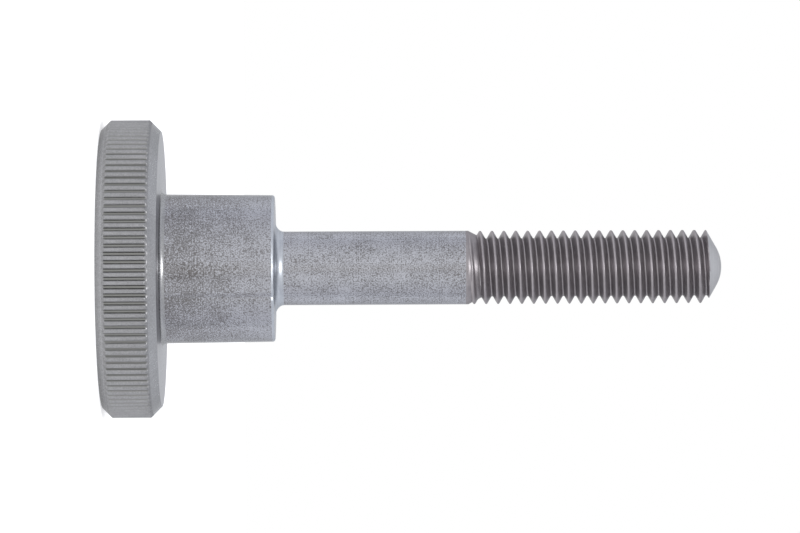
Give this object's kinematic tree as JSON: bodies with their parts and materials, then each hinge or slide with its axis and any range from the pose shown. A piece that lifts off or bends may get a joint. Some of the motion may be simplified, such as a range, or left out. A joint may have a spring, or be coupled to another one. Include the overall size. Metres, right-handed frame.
{
  "type": "knurled thumb screw",
  "caption": "Turned steel thumb screw with a straight-knurled disc head, a high collar, a plain shank and a threaded end with a rounded point.",
  "frame": {"origin": "centre of the head's flat top face, on which the screw stands", "axes": "+Z along the screw's axis, from the head to the point; X and Y are square to it"},
  "size_m": [0.02, 0.02, 0.0416],
  "materials": {
    "steel": "bare turned steel, smooth on the head and thread and finely mottled on the collar and shank"
  },
  "bodies": {
    "root": {"thumb_screw": "steel"}
  },
  "joints": []
}
